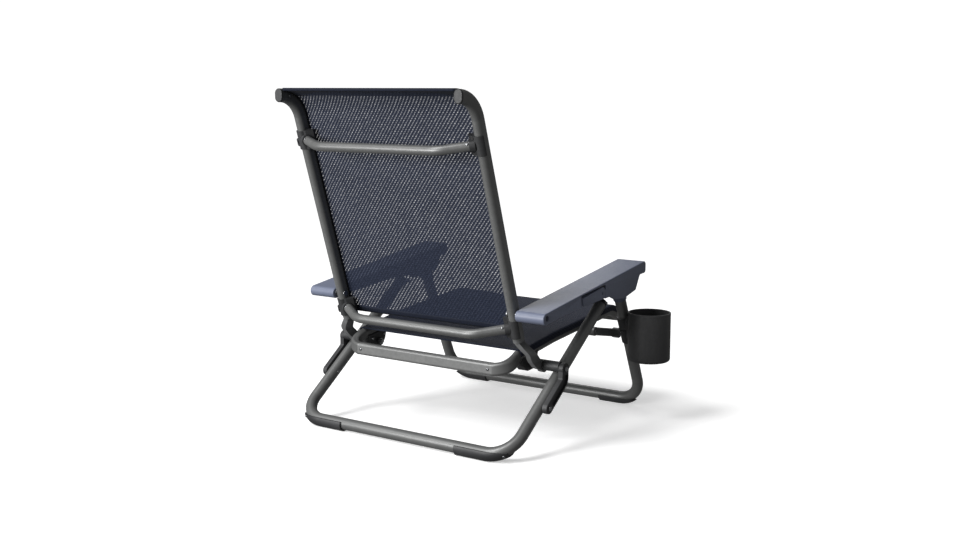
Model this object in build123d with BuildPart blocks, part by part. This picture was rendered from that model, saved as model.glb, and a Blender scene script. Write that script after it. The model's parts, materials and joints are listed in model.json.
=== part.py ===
from build123d import *
import os
from math import cos, hypot, radians, sin

# A folding beach chair with a reclining sling back, built as separate pieces.
# Origin: on the floor, midway between the four feet. +X is the sitter's left,
# the chair faces -Y, +Z is up. Side-view points are (y, z). Millimetres.

os.makedirs("parts", exist_ok=True)

# ---------------------------------------------------------------- fits and fixings
PIN_FIT = 0.05  # radial play of a pin in its hole
RUN_GAP = 0.3  # side play between faces that turn against each other
BIG_PIN = 5.0  # radius of the seat, back and armrest pivots
SMALL_PIN = 4.0  # radius of the leg pivots
BIG_BORE = BIG_PIN + PIN_FIT
SMALL_BORE = SMALL_PIN + PIN_FIT
RIVET_RADIUS, RIVET_HEIGHT = 3.5, 1.8

# ---------------------------------------------------------------- pivots, (y, z)
SEAT_PIVOT = (123.0, 187.0)  # seat, back and links turn here
ARM_PIVOT = (219.7, 320.8)  # armrest on the back rail
LINK_PIVOT = (191.5, 107.4)  # link on the rear leg
FRONT_PIVOT = (-231.5, 207.0)  # front leg on the seat frame

# ---------------------------------------------------------------- seat frame
SEAT_RAIL_X = 235.0
SEAT_RAIL_TALL, SEAT_RAIL_WIDE, SEAT_WALL = 28.0, 20.0, 1.8
SEAT_ROUTE = ((165, 210), (10, 232), (-262, 258), (-329, 229))
SEAT_BENDS = (400, 60)
REAR_BAR = (216.0, 185.4)
REAR_BAR_TALL, REAR_BAR_DEEP, REAR_BAR_HALF = 30.0, 20.0, 205.0
REAR_BAR_ROUND = 6.5
FRONT_BAR = (-342.0, 226.15)
FRONT_BAR_RADIUS = 11.1
RAIL_INNER, RAIL_OUTER = SEAT_RAIL_X - SEAT_RAIL_WIDE / 2, SEAT_RAIL_X + SEAT_RAIL_WIDE / 2

SLING_HALF = 247.0
SLING_THICK = 2.2
SLING_RISE = SEAT_RAIL_TALL / 2 + 0.3 + SLING_THICK / 2  # sling middle above the rail's centreline

# ---------------------------------------------------------------- back frame
BACK_RAIL_X = 259.0
BACK_RAIL_DEEP, BACK_RAIL_WIDE, BACK_WALL = 32.0, 23.0, 1.8
BACK_FOOT = (196.0, 262.0)
BACK_CORNER = (368.5, 811.8)
BACK_END_Y = 421.0
BACK_BEND = 70.0
BACK_SLING_HALF = 248.5
BACK_SLING_THICK = 2.4
BACK_SLING_SHIFT = -12.0
UPPER_BAR_RISE, LOWER_BAR_RISE = 470.0, 28.0  # along the rail from its foot
CROSSBAR_RADIUS, CROSSBAR_WALL = 11.1, 1.6
CROSSBAR_END, CROSSBAR_SHOULDER = 243.0, 175.0
UPPER_BAR_DEPTHS, LOWER_BAR_DEPTHS = (13.1, 52.0), (11.6, 58.0)  # at the ends, in the middle
CLAMP_TALL = 45.0

# ---------------------------------------------------------------- legs
LEG_RADIUS, LEG_WALL, LEG_BEND = 14.3, 1.8, 65.0
FOOT_RADIUS = 18.6
REAR_HALF, FRONT_HALF = 314.0, 307.0  # centreline of the uprights
REAR_FLOOR, REAR_TOP = (313.7, 17.8), (-88.0, 312.8)
FRONT_FLOOR, FRONT_TOP = (-313.8, 17.8), (-180.5, 325.0)
REAR_CAP = 12.0
NOTCH_PIN_END = 287.0  # |x| of its inner end, clear of the rivets on the front leg arms

# ---------------------------------------------------------------- lanes across the chair, |x|
LINK_LANE = (330.0, 343.0)
BOSS_RADIUS, BOSS_SHIFT = 12.5, (2.4, 3.2)
EYE_LANE = (272.0, 284.5)
ARM_PLATE_LANE = (266.0, 284.0)
ARMREST_LANE = (274.0, 352.0)
ARMREST_WALL, ARMREST_ROOF = 3.0, 3.5

# ---------------------------------------------------------------- armrest and recline lever
ARMREST_REAR_Y, ARMREST_RUN = 208.0, 448.0
ARMREST_REAR_TOP, ARMREST_FRONT_TOP = 334.6, 399.5
LEVER_PIVOT = (-22.0, 345.0)
LEVER_PIN = 2.5
LEVER_LANE = (340.0, 354.5)
LEVER_OUTLINE = ((70.5, 344.7), (-25.8, 360.1), (-36, 352), (-34, 334), (-20, 330.5), (65.6, 325.1))
LEVER_WINDOW = ((74, 351.6), (-39, 364.5), (-39, 300), (70, 300))

# ---------------------------------------------------------------- cup holder, sitter's right
CUP_CENTRE = (-383.5, -204.0)
CUP_RADIUS, CUP_WALL, CUP_FLOOR = 53.0, 3.5, 4.0
CUP_LOW, CUP_HIGH = 152.8, 275.8
TEE_Y = -204.0
TEE_SLOT = (188.0, 258.3)  # channel for the clip's rail, open below and closed above


# ---------------------------------------------------------------- helpers
def finish(piece, name):
    """Label a finished piece and write its file."""
    piece.part.label = name
    export_step(piece.part, f"parts/{name}.step")


def finish_pair(left, name):
    """Write the left piece and, as a second piece, its mirror image on the right."""
    finish(left, f"{name}_left")
    with BuildPart() as right:
        mirror(left.part, about=Plane.YZ)
    finish(right, f"{name}_right")


def toward(start, end):
    """Unit direction from one side-view point to another."""
    length = hypot(end[0] - start[0], end[1] - start[1])
    return (end[0] - start[0]) / length, (end[1] - start[1]) / length


def along(start, end, distance):
    """Side-view point at a distance from start on the way to end."""
    step = toward(start, end)
    return start[0] + step[0] * distance, start[1] + step[1] * distance


def shifted(points, gap):
    """A side-view route moved sideways by gap, towards the upper side when it runs forward."""
    ways = [toward(a, b) for a, b in zip(points, points[1:])]
    sides = [(way[1], -way[0]) for way in ways]
    sides = [sides[0]] + sides + [sides[-1]]
    moved = []
    for point, before, after in zip(points, sides, sides[1:]):
        scale = gap / (1 + before[0] * after[0] + before[1] * after[1])
        moved.append((point[0] + scale * (before[0] + after[0]), point[1] + scale * (before[1] + after[1])))
    return moved


def disc(x, centre, radius, bore=0):
    """Round side-view face at x, with a hole if bore is given."""
    with BuildSketch(Plane.YZ.offset(x)) as face:
        with Locations(centre):
            Circle(radius)
            if bore:
                Circle(bore, mode=Mode.SUBTRACT)
    return face.sketch


def strip(x, points, radii, width):
    """Side-view band of a given width along a bent route, at x."""
    with BuildSketch(Plane.YZ.offset(x)) as face:
        with BuildLine():
            FilletPolyline(*points, radius=radii)
        trace(line_width=width)
    return face.sketch


def across(line):
    """Plane square to the start of a route that lies in a side view."""
    return Plane(origin=line @ 0, x_dir=(1, 0, 0), z_dir=line % 0)


def rivet(plane):
    """Domed rivet head standing on a plane."""
    with BuildPart() as head:
        with BuildSketch(plane):
            Circle(RIVET_RADIUS)
        extrude(amount=RIVET_HEIGHT)
        fillet(head.faces().sort_by(Axis(plane.origin, plane.z_dir))[-1].edges(), RIVET_HEIGHT * 0.8)
    return head.part


# ================================================================ seat frame
def seat_rail():
    """Flat-sided oval side rail, bent down at the front."""
    with BuildPart() as rail:
        with BuildLine(Plane.YZ.offset(SEAT_RAIL_X)) as route:
            FilletPolyline(*SEAT_ROUTE, radius=SEAT_BENDS)
        with BuildSketch(across(route.line)):
            SlotOverall(SEAT_RAIL_TALL, SEAT_RAIL_WIDE, rotation=90)
            SlotOverall(
                SEAT_RAIL_TALL - 2 * SEAT_WALL,
                SEAT_RAIL_WIDE - 2 * SEAT_WALL,
                rotation=90,
                mode=Mode.SUBTRACT,
            )
        sweep()
    finish_pair(rail, "seat_rail")


def seat_bars():
    """Oval rear bar and round front bar."""
    with BuildPart() as rear:
        with BuildSketch(Plane.YZ.offset(-REAR_BAR_HALF)):
            with Locations(REAR_BAR):
                RectangleRounded(REAR_BAR_DEEP, REAR_BAR_TALL, REAR_BAR_ROUND)
                RectangleRounded(
                    REAR_BAR_DEEP - 2 * SEAT_WALL,
                    REAR_BAR_TALL - 2 * SEAT_WALL,
                    REAR_BAR_ROUND - SEAT_WALL,
                    mode=Mode.SUBTRACT,
                )
        extrude(amount=2 * REAR_BAR_HALF)
    finish(rear, "seat_rear_bar")

    with BuildPart() as front:
        extrude(
            disc(-RAIL_INNER, FRONT_BAR, FRONT_BAR_RADIUS, FRONT_BAR_RADIUS - SEAT_WALL),
            amount=2 * RAIL_INNER,
        )
    finish(front, "seat_front_bar")


def seat_corners():
    """Moulded elbows that join the rear bar to the side rails, with a spigot in each tube."""
    play = 0.2
    swell = 0.6
    spigot = 24.0
    rail_way = toward(SEAT_ROUTE[1], SEAT_ROUTE[0])
    bar_end = Plane(origin=(REAR_BAR_HALF, *REAR_BAR), x_dir=(0, 1, 0), z_dir=(1, 0, 0))
    bend = Plane(origin=(229, 204, 191.5), x_dir=(1, 1, 0), z_dir=(1, -1, 0.35))
    rail_end = Plane(
        origin=(SEAT_RAIL_X, *SEAT_ROUTE[0]),
        x_dir=(1, 0, 0),
        z_dir=(0, -rail_way[0], -rail_way[1]),
    )
    with BuildPart() as elbow:
        with BuildSketch(bar_end):
            RectangleRounded(REAR_BAR_DEEP + swell, REAR_BAR_TALL + swell, REAR_BAR_ROUND)
        with BuildSketch(bend):
            RectangleRounded(REAR_BAR_DEEP + 2 * swell, REAR_BAR_TALL + swell, REAR_BAR_ROUND + 1)
        with BuildSketch(rail_end):
            RectangleRounded(SEAT_RAIL_WIDE + swell, SEAT_RAIL_TALL + swell, SEAT_RAIL_WIDE / 2)
        loft()
        inside = 2 * (SEAT_WALL + play)
        with BuildSketch(bar_end):
            RectangleRounded(REAR_BAR_DEEP - inside, REAR_BAR_TALL - inside, REAR_BAR_ROUND - SEAT_WALL)
        extrude(amount=-spigot)
        with BuildSketch(rail_end):
            SlotOverall(SEAT_RAIL_TALL - inside, SEAT_RAIL_WIDE - inside, rotation=90)
        extrude(amount=spigot)
    finish_pair(elbow, "seat_corner")


def seat_front_corners():
    """Moulded blocks that carry the front bar on the ends of the side rails."""
    play = 0.2
    end = SEAT_ROUTE[-1]
    way = toward(SEAT_ROUTE[-2], end)
    half = SEAT_RAIL_TALL / 2
    swell = FRONT_BAR_RADIUS + 0.2
    outline = (
        (end[0] - half * way[1], end[1] + half * way[0]),
        (FRONT_BAR[0] - swell * way[1], FRONT_BAR[1] + swell * way[0]),
        (FRONT_BAR[0] + swell * way[1], FRONT_BAR[1] - swell * way[0]),
        (end[0] + half * way[1], end[1] - half * way[0]),
    )
    with BuildPart() as corners:
        with BuildSketch(Plane.YZ.offset(RAIL_INNER + play)):
            Polygon(*outline, align=None)
            with Locations(FRONT_BAR):
                Circle(swell)
        extrude(amount=SEAT_RAIL_WIDE - 2 * play)
        inside = 2 * (SEAT_WALL + play)
        with BuildSketch(Plane(origin=(SEAT_RAIL_X, *end), x_dir=(1, 0, 0), z_dir=(0, -way[0], -way[1]))):
            SlotOverall(SEAT_RAIL_TALL - inside, SEAT_RAIL_WIDE - inside, rotation=90)
        extrude(amount=22)
        extrude(disc(RAIL_INNER + play, FRONT_BAR, FRONT_BAR_RADIUS - SEAT_WALL - play), amount=-22)
        mirror(about=Plane.YZ)
    finish(corners, "seat_front_corners")


def seat_sling():
    """Fabric seat: a tight sheet over the rails with a flap down each side and over the front bar."""
    top = shifted(SEAT_ROUTE, SLING_RISE)
    way = toward(top[2], top[3])
    wrap = FRONT_BAR_RADIUS + 0.5 + SLING_THICK / 2
    front_y = FRONT_BAR[0] - wrap
    corner = (front_y, top[3][1] + way[1] / way[0] * (front_y - top[3][0]))
    outer_bends = tuple(bend + SLING_RISE for bend in SEAT_BENDS)
    with BuildPart() as sling:
        extrude(
            strip(0, (*top[:3], corner, (front_y, FRONT_BAR[1] - 10)), (*outer_bends, wrap), SLING_THICK),
            amount=SLING_HALF,
            both=True,
        )
        flap = SLING_RISE + SLING_THICK / 2 - 0.5
        flap_route = shifted(SEAT_ROUTE, 0.5 + flap / 2)
        flap_bends = tuple(bend + 0.5 + flap / 2 for bend in SEAT_BENDS)
        extrude(strip(RAIL_OUTER + 0.3, flap_route, flap_bends, flap), amount=SLING_HALF - RAIL_OUTER - 0.3)
        mirror(about=Plane.YZ)
    finish(sling, "seat_sling")


def pivot_bracket():
    """Moulded cradle under the seat rail that carries the main pivot."""
    rail_way = toward(SEAT_ROUTE[1], SEAT_ROUTE[0])
    inner, outer = RAIL_INNER - 4, RAIL_OUTER + 1
    below_rail = 5.5
    rear = along(SEAT_ROUTE[0], SEAT_ROUTE[1], 6)
    front = along(SEAT_ROUTE[0], SEAT_ROUTE[1], 74)
    with BuildPart() as bracket:
        with BuildSketch(Plane.YZ.offset(inner)) as side:
            with BuildLine():
                Polyline(
                    (rear[0], rear[1] - below_rail),
                    (front[0], front[1] - below_rail),
                    (front[0] + 6, 190),
                    (SEAT_PIVOT[0] - 14, 174),
                    (SEAT_PIVOT[0] + 14, 172),
                    (rear[0] - 4, 186),
                    close=True,
                )
            make_face()
            fillet(side.vertices().sort_by(Axis.Y)[:4], 6)
        extrude(amount=outer - inner)
        with BuildSketch(
            Plane(origin=(SEAT_RAIL_X, *SEAT_ROUTE[0]), x_dir=(1, 0, 0), z_dir=(0, *rail_way))
        ):
            SlotOverall(SEAT_RAIL_TALL, SEAT_RAIL_WIDE, rotation=90)
        extrude(amount=100, both=True, mode=Mode.SUBTRACT)
        extrude(disc(inner - 1, SEAT_PIVOT, BIG_BORE), amount=outer - inner + 2, mode=Mode.SUBTRACT)
    finish_pair(bracket, "pivot_bracket")


def front_leg_arm():
    """Bracket from the seat rail out and down to the front leg's pivot."""
    root = (-112.0, 230.5)
    knee = (-160.0, 221.0)
    plate_low, plate_high = ARM_PLATE_LANE
    with BuildPart() as arm:
        extrude(strip(plate_low, (root, knee, FRONT_PIVOT), 60, 20), amount=plate_high - plate_low)
        extrude(disc(RAIL_OUTER, root, 11.5), amount=plate_high - RAIL_OUTER)
        extrude(disc(plate_low, FRONT_PIVOT, 13), amount=plate_high - plate_low)
        outer_rim = arm.faces().sort_by(Axis.X)[-1].edges()
        fillet(outer_rim, 2.5)
        extrude(disc(plate_low - 1, FRONT_PIVOT, SMALL_PIN), amount=30, mode=Mode.SUBTRACT)
    finish_pair(arm, "front_leg_arm")


def front_leg_pins():
    """Headed pins fixed in the arms, on which the front legs turn."""
    with BuildPart() as pins:
        extrude(disc(262, FRONT_PIVOT, SMALL_PIN), amount=64)
        extrude(disc(262, FRONT_PIVOT, 7), amount=3.8)
        extrude(disc(325, FRONT_PIVOT, 7), amount=2.6)
        fillet(pins.faces().sort_by(Axis.X)[-1].edges(), 1.2)
        mirror(about=Plane.YZ)
    finish(pins, "front_leg_pins")


def seat_rivets():
    """Rivet heads on the rear bar, the arm roots and the inside of the pivot cradles."""
    with BuildPart() as rivets:
        rear_face = REAR_BAR[0] + REAR_BAR_DEEP / 2
        add(rivet(Plane(origin=(193.6, rear_face, REAR_BAR[1]), z_dir=(0, 1, 0))))
        add(rivet(Plane(origin=(RAIL_INNER - 4, 146, 196), z_dir=(-1, 0, 0))))
        add(rivet(Plane(origin=(RAIL_INNER - 4, 102, 202), z_dir=(-1, 0, 0))))
        add(rivet(Plane(origin=(ARM_PLATE_LANE[1], -112, 230.5), z_dir=(1, 0, 0))))
        mirror(about=Plane.YZ)
    finish(rivets, "seat_rivets")


# ================================================================ main pivot
def hinge_pins():
    """Long pin through cradle, spacers, hinge arm and link, with a nut inside and a head outside."""
    nut_low, nut_high = 208.0, RAIL_INNER - 4 - RUN_GAP
    head_low = LINK_LANE[1] + RUN_GAP
    with BuildPart() as pins:
        extrude(disc(nut_low, SEAT_PIVOT, BIG_PIN), amount=head_low - nut_low)
        with BuildSketch(Plane.YZ.offset(nut_low + 4)):
            with Locations(SEAT_PIVOT):
                RegularPolygon(8.5, 6)
        extrude(amount=nut_high - nut_low - 4)
        extrude(disc(head_low, SEAT_PIVOT, 6.2), amount=2.6)
        fillet(pins.faces().sort_by(Axis.X)[-1].edges(), 2)
        mirror(about=Plane.YZ)
    finish(pins, "hinge_pins")


def hinge_spacers():
    """Plain spacers on the main pin, between the seat's cradle and the hinge arm."""
    low, high = RAIL_OUTER + 1 + RUN_GAP, EYE_LANE[0] - RUN_GAP
    with BuildPart() as spacers:
        extrude(disc(low, SEAT_PIVOT, 10, BIG_BORE), amount=high - low)
        mirror(about=Plane.YZ)
    finish(spacers, "hinge_spacers")


# ================================================================ back
BACK_ROUTE = (BACK_FOOT, BACK_CORNER, (BACK_END_Y, BACK_CORNER[1]))
BACK_WAY = toward(BACK_FOOT, BACK_CORNER)
BACK_REARWARD = (BACK_WAY[1], -BACK_WAY[0])


def cross_plane(rise):
    """Plane square to the back rails: local x across the chair, local y rearward."""
    return Plane(
        origin=(0, *along(BACK_FOOT, BACK_CORNER, rise)),
        x_dir=(1, 0, 0),
        z_dir=(0, *BACK_WAY),
    )


def rear_face(x, rise, depth):
    """Plane facing rearward, at x across, rise up the rail and depth behind its centreline."""
    y, z = along(BACK_FOOT, BACK_CORNER, rise)
    spot = (x, y + depth * BACK_REARWARD[0], z + depth * BACK_REARWARD[1])
    return Plane(origin=spot, x_dir=(1, 0, 0), z_dir=(0, *BACK_REARWARD))


def back_rail():
    """Flat-sided oval side rail, curled rearward at the top and drilled for the armrest pin."""
    with BuildPart() as rail:
        with BuildLine(Plane.YZ.offset(BACK_RAIL_X)) as route:
            FilletPolyline(*BACK_ROUTE, radius=BACK_BEND)
        with BuildSketch(across(route.line)):
            SlotOverall(BACK_RAIL_DEEP, BACK_RAIL_WIDE, rotation=90)
            SlotOverall(
                BACK_RAIL_DEEP - 2 * BACK_WALL,
                BACK_RAIL_WIDE - 2 * BACK_WALL,
                rotation=90,
                mode=Mode.SUBTRACT,
            )
        sweep()
        extrude(disc(240, ARM_PIVOT, BIG_BORE), amount=40, mode=Mode.SUBTRACT)
    finish_pair(rail, "back_rail")


def rail_end_plug():
    """Push-in plug that closes the curled end of a back rail."""
    end_face = Plane(origin=(BACK_RAIL_X, BACK_END_Y, BACK_CORNER[1]), x_dir=(1, 0, 0), z_dir=(0, 1, 0))
    inside = 2 * (BACK_WALL + 0.7)
    with BuildPart() as plug:
        with BuildSketch(end_face):
            SlotOverall(BACK_RAIL_DEEP, BACK_RAIL_WIDE, rotation=90)
        extrude(amount=4)
        fillet(plug.faces().sort_by(Axis.Y)[-1].edges(), 2.5)
        with BuildSketch(end_face):
            SlotOverall(BACK_RAIL_DEEP - inside, BACK_RAIL_WIDE - inside, rotation=90)
        extrude(amount=-8)
    finish_pair(plug, "rail_end_plug")


def crossbar(rise, end_depth, middle_depth, name):
    """Round bar behind the sling, bowed rearward, between the two back rails."""
    with BuildPart() as bar:
        with BuildLine(cross_plane(rise)) as route:
            FilletPolyline(
                (-CROSSBAR_END, end_depth),
                (-CROSSBAR_SHOULDER, middle_depth),
                (CROSSBAR_SHOULDER, middle_depth),
                (CROSSBAR_END, end_depth),
                radius=70,
            )
        with BuildSketch(Plane(origin=route.line @ 0, z_dir=route.line % 0)):
            Circle(CROSSBAR_RADIUS)
            Circle(CROSSBAR_RADIUS - CROSSBAR_WALL, mode=Mode.SUBTRACT)
        sweep()
    finish(bar, name)


def bar_end_plane(rise, end_depth, middle_depth):
    """Plane on the left end face of a crossbar, facing along the bar towards the middle."""
    plane = cross_plane(rise)
    end = plane.from_local_coords(Vector(CROSSBAR_END, end_depth, 0))
    shoulder = plane.from_local_coords(Vector(CROSSBAR_SHOULDER, middle_depth, 0))
    return Plane(origin=end, z_dir=shoulder - end)


def crossbar_clamp(rise, end_depth, middle_depth, name):
    """Moulded clamp: a cap round the rear of the rail, a cheek inside it and a socket for the bar."""
    rail_inner = BACK_RAIL_X - BACK_RAIL_WIDE / 2
    cap_wall = 3.0
    wall_start = 4.6
    bar_end = bar_end_plane(rise, end_depth, middle_depth)
    with BuildPart() as clamp:
        with BuildSketch(cross_plane(rise).offset(-CLAMP_TALL / 2)):
            with Locations((BACK_RAIL_X, 0)):
                SlotOverall(BACK_RAIL_DEEP + 2 * cap_wall, BACK_RAIL_WIDE + 2 * cap_wall, rotation=90)
            with Locations((BACK_RAIL_X, wall_start - 40)):
                Rectangle(80, 80, mode=Mode.SUBTRACT)
            Polygon((rail_inner, -4), (227, -4), (227, 2), (241, 14), (rail_inner, 14), align=None)
            with Locations((BACK_RAIL_X, 0)):
                SlotOverall(BACK_RAIL_DEEP, BACK_RAIL_WIDE, rotation=90, mode=Mode.SUBTRACT)
        extrude(amount=CLAMP_TALL)
        with BuildSketch(bar_end.offset(-6)):
            Circle(CROSSBAR_RADIUS + 2.7)
        extrude(amount=13)
        with BuildSketch(cross_plane(rise)):
            with Locations((rail_inner + 30, 0)):
                Rectangle(60, 18)
        extrude(amount=CLAMP_TALL, both=True, mode=Mode.SUBTRACT)
        with BuildSketch(cross_plane(rise)):
            with Locations((BACK_RAIL_X, 0)):
                SlotOverall(BACK_RAIL_DEEP, BACK_RAIL_WIDE, rotation=90)
        extrude(amount=CLAMP_TALL, both=True, mode=Mode.SUBTRACT)
        with BuildSketch(bar_end):
            Circle(CROSSBAR_RADIUS)
        extrude(amount=40, mode=Mode.SUBTRACT)
    finish_pair(clamp, name)


def hinge_arm():
    """S-shaped cast arm: a spigot in the rail's foot, a step outward, and an eye on the main pivot."""
    side_route = (
        along(BACK_FOOT, BACK_CORNER, 26),
        BACK_FOOT,
        (188, 240),
        (172, 217),
        (150, 197),
        SEAT_PIVOT,
    )
    eye_x = (EYE_LANE[0] + EYE_LANE[1]) / 2
    step_route = ((BACK_RAIL_X, 292), (BACK_RAIL_X, 252), (281.5, 224), (eye_x, 203), (eye_x, 165))
    arm_wide, arm_thick = 24.0, 12.4
    with BuildPart() as arm:
        extrude(strip(240, side_route, (60, 60, 40, 30), arm_wide), amount=60)
        with BuildSketch(Plane.XZ.offset(-180)):
            with BuildLine():
                FilletPolyline(*step_route, radius=(16, 12, 16))
            trace(line_width=arm_thick)
        extrude(amount=150, both=True, mode=Mode.INTERSECT)
        extrude(disc(EYE_LANE[0], SEAT_PIVOT, 15), amount=EYE_LANE[1] - EYE_LANE[0])
        with BuildSketch(Plane(origin=(BACK_RAIL_X, *BACK_FOOT), x_dir=(1, 0, 0), z_dir=(0, *BACK_WAY))):
            SlotOverall(BACK_RAIL_DEEP - 1, BACK_RAIL_WIDE - 1, rotation=90)
        extrude(amount=-7)
        extrude(disc(EYE_LANE[0] - 2, SEAT_PIVOT, BIG_BORE), amount=17, mode=Mode.SUBTRACT)
    finish_pair(arm, "hinge_arm")


def back_sling():
    """Fabric back: a tight sheet between the rails that follows their curl at the top."""
    low = along(BACK_FOOT, BACK_CORNER, 9)
    route = shifted((low, BACK_CORNER, BACK_ROUTE[-1]), BACK_SLING_SHIFT)
    with BuildPart() as sling:
        extrude(
            strip(0, route, BACK_BEND - BACK_SLING_SHIFT, BACK_SLING_THICK),
            amount=BACK_SLING_HALF,
            both=True,
        )
    finish(sling, "back_sling")


def strap_loops():
    """Two moulded loops on the outer side of the left rail, for a shoulder strap."""
    inner, outer = BACK_RAIL_X + BACK_RAIL_WIDE / 2, 286.0
    with BuildPart() as loops:
        for rise in (460, 16):
            with BuildSketch(rear_face(0, rise, 0)):
                with Locations(((inner + outer) / 2, 0)):
                    RectangleRounded(outer - inner, 20, 4)
                with Locations(((inner + outer) / 2 + 0.8, 0)):
                    RectangleRounded(8, 11, 2.5, mode=Mode.SUBTRACT)
            extrude(amount=4, both=True)
    finish(loops, "strap_loops")


def back_rivets():
    """Rivet heads on the ends of the crossbars and on the inner side of the left rail's curl."""
    lean = 0.7071
    with BuildPart() as rivets:
        for rise, depths in ((UPPER_BAR_RISE, UPPER_BAR_DEPTHS), (LOWER_BAR_RISE, LOWER_BAR_DEPTHS)):
            bar_end = bar_end_plane(rise, *depths)
            spot = bar_end.origin + bar_end.z_dir * 11
            side = bar_end.z_dir.cross(Vector(0, *BACK_WAY))
            rearward = side if side.Y > 0 else -side
            out = rearward * lean + Vector(0, *BACK_WAY) * lean
            add(rivet(Plane(origin=spot + out * (CROSSBAR_RADIUS - 0.6), z_dir=out)))
            with BuildSketch(bar_end):
                Circle(CROSSBAR_RADIUS)
            extrude(amount=20, mode=Mode.SUBTRACT)
        mirror(about=Plane.YZ)
        inner = BACK_RAIL_X - BACK_RAIL_WIDE / 2
        add(rivet(Plane(origin=(inner, 398, BACK_CORNER[1]), z_dir=(-1, 0, 0))))
    finish(rivets, "back_rivets")


# ================================================================ links and legs
def link():
    """Dog-leg link between the main pivot and the rear leg, with a shallow pocket outside."""
    low, high = LINK_LANE
    route = (SEAT_PIVOT, (124, 158), LINK_PIVOT)
    boss_low = EYE_LANE[1] + RUN_GAP
    boss_centre = (SEAT_PIVOT[0] + BOSS_SHIFT[0], SEAT_PIVOT[1] + BOSS_SHIFT[1])
    with BuildPart() as plate:
        extrude(strip(low, route, 18, 26), amount=high - low)
        extrude(disc(low, SEAT_PIVOT, 14), amount=high - low)
        extrude(disc(low, LINK_PIVOT, 13), amount=high - low)
        fillet(plate.faces().sort_by(Axis.X)[-1].edges(), 2)
        pocket = (along(SEAT_PIVOT, route[1], 14), route[1], along(LINK_PIVOT, route[1], 14))
        extrude(strip(high - 4, pocket, 10, 15), amount=5, mode=Mode.SUBTRACT)
        # Boss that reaches in past the rear leg to the hinge arm, set back from the leg.
        extrude(disc(boss_low, boss_centre, BOSS_RADIUS), amount=low - boss_low)
        extrude(disc(boss_low - 1, SEAT_PIVOT, BIG_BORE), amount=high - boss_low + 2, mode=Mode.SUBTRACT)
        extrude(disc(low - 1, LINK_PIVOT, SMALL_BORE), amount=20, mode=Mode.SUBTRACT)
    finish_pair(plate, "link")


def link_rivets():
    """Shouldered rivets through the rear leg, on which the links turn."""
    tube_inner = REAR_HALF - LEG_RADIUS
    head_low = LINK_LANE[1] + RUN_GAP
    with BuildPart() as rivets:
        extrude(disc(tube_inner - 0.8, LINK_PIVOT, SMALL_PIN), amount=head_low - tube_inner + 0.8)
        extrude(disc(head_low, LINK_PIVOT, 5.6), amount=2.4)
        fillet(rivets.faces().sort_by(Axis.X)[-1].edges(), 1.9)
        mirror(about=Plane.YZ)
    finish(rivets, "link_rivets")


def leg_plane(floor, top):
    """Plane of a U-shaped leg: local x across the chair, local y up the uprights."""
    way = toward(floor, top)
    return Plane(origin=(0, *floor), x_dir=(1, 0, 0), z_dir=(0, -way[1], way[0]))


def leg_tube(half, floor, top, trim, pivot, name):
    """Round tube bent into a U, with a cross hole for its pivot in both uprights."""
    length = hypot(top[0] - floor[0], top[1] - floor[1]) - trim
    with BuildPart() as leg:
        with BuildLine(leg_plane(floor, top)) as route:
            FilletPolyline((half, length), (half, 0), (-half, 0), (-half, length), radius=LEG_BEND)
        with BuildSketch(across(route.line)):
            Circle(LEG_RADIUS)
            Circle(LEG_RADIUS - LEG_WALL, mode=Mode.SUBTRACT)
        sweep()
        extrude(disc(0, pivot, SMALL_BORE), amount=400, both=True, mode=Mode.SUBTRACT)
    finish(leg, name)


def foot_cover(half, floor, top, inner_end, outer_end, ceiling, name):
    """Moulded shoe round the lower bend of a leg, with a flat strip on the floor."""
    with BuildPart() as cover:
        with BuildLine(leg_plane(floor, top)) as route:
            FilletPolyline((inner_end, 0), (half, 0), (half, LEG_BEND + 5), radius=LEG_BEND)
        with BuildSketch(Plane(origin=route.line @ 0, z_dir=route.line % 0)):
            Circle(FOOT_RADIUS)
            Circle(LEG_RADIUS, mode=Mode.SUBTRACT)
        sweep()
        with BuildSketch(Plane.XY):
            with Locations(((inner_end + outer_end) / 2, floor[0])):
                Rectangle(outer_end - inner_end, 200)
        extrude(amount=ceiling, mode=Mode.INTERSECT)
    finish_pair(cover, name)


def rear_leg_caps():
    """Moulded heads on the rear uprights, with a cross hole for the notch pin."""
    way = toward(REAR_TOP, REAR_FLOOR)
    pin_spot = along(REAR_TOP, REAR_FLOOR, 5)
    head_low = along(REAR_TOP, REAR_FLOOR, REAR_CAP)
    with BuildPart() as caps:
        with BuildSketch(Plane(origin=(REAR_HALF, *head_low), x_dir=(1, 0, 0), z_dir=(0, -way[0], -way[1]))):
            Circle(LEG_RADIUS)
        extrude(amount=REAR_CAP)
        fillet(caps.faces().sort_by(Axis((0, 0, 0), (0, way[0], way[1])))[0].edges(), 3)
        with BuildSketch(Plane(origin=(REAR_HALF, *head_low), x_dir=(1, 0, 0), z_dir=(0, way[0], way[1]))):
            Circle(LEG_RADIUS - LEG_WALL - 0.2)
        extrude(amount=20)
        extrude(disc(REAR_HALF - 20, pin_spot, SMALL_PIN), amount=40, mode=Mode.SUBTRACT)
        mirror(about=Plane.YZ)
    finish(caps, "rear_leg_caps")


def notch_pins():
    """Cross pins in the rear leg heads, which ride under the notch racks."""
    with BuildPart() as pins:
        extrude(disc(NOTCH_PIN_END, along(REAR_TOP, REAR_FLOOR, 5), SMALL_PIN), amount=330 - NOTCH_PIN_END)
        mirror(about=Plane.YZ)
    finish(pins, "notch_pins")


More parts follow.
